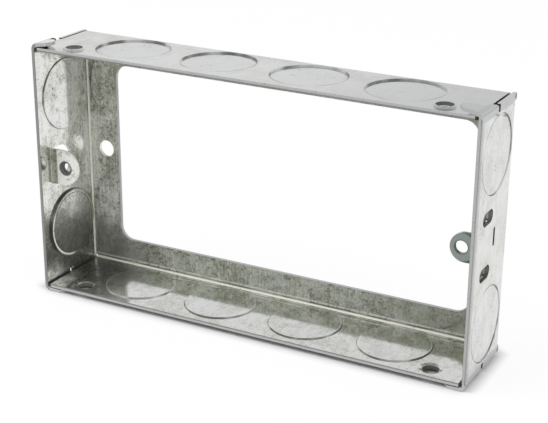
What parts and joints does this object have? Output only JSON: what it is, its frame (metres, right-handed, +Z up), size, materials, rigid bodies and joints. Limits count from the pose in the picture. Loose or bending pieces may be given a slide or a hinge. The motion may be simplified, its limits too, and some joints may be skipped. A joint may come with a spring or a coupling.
{
  "type": "socket extension box",
  "caption": "Shallow open-backed galvanised steel box with knockouts, a back flange and lugs, that deepens a two-gang wall box for sockets.",
  "frame": {"origin": "centre of the footprint at the height of the lowest corner tabs, on the surface that the box stands on", "axes": "X along the long side, from the lanced lug to the sliding lug; Y through the depth, from the open front rim to the back flange; Z up, along the short side"},
  "size_m": [0.132, 0.025, 0.0751],
  "materials": {
    "galvanised_sheet": "rolled galvanised sheet, semi-bright, streaked and lightly scratched",
    "plated_lug": "blue-grey plated steel, satin"
  },
  "bodies": {
    "box": {"box_shell": "galvanised_sheet"},
    "lug": {"sliding_lug": "plated_lug"}
  },
  "joints": [
    {"name": "lug_slide", "type": "slide", "parent": "box", "child": "lug", "axis": [0, 0, 1], "range_m": [-0.0007, 0.0017]}
  ]
}
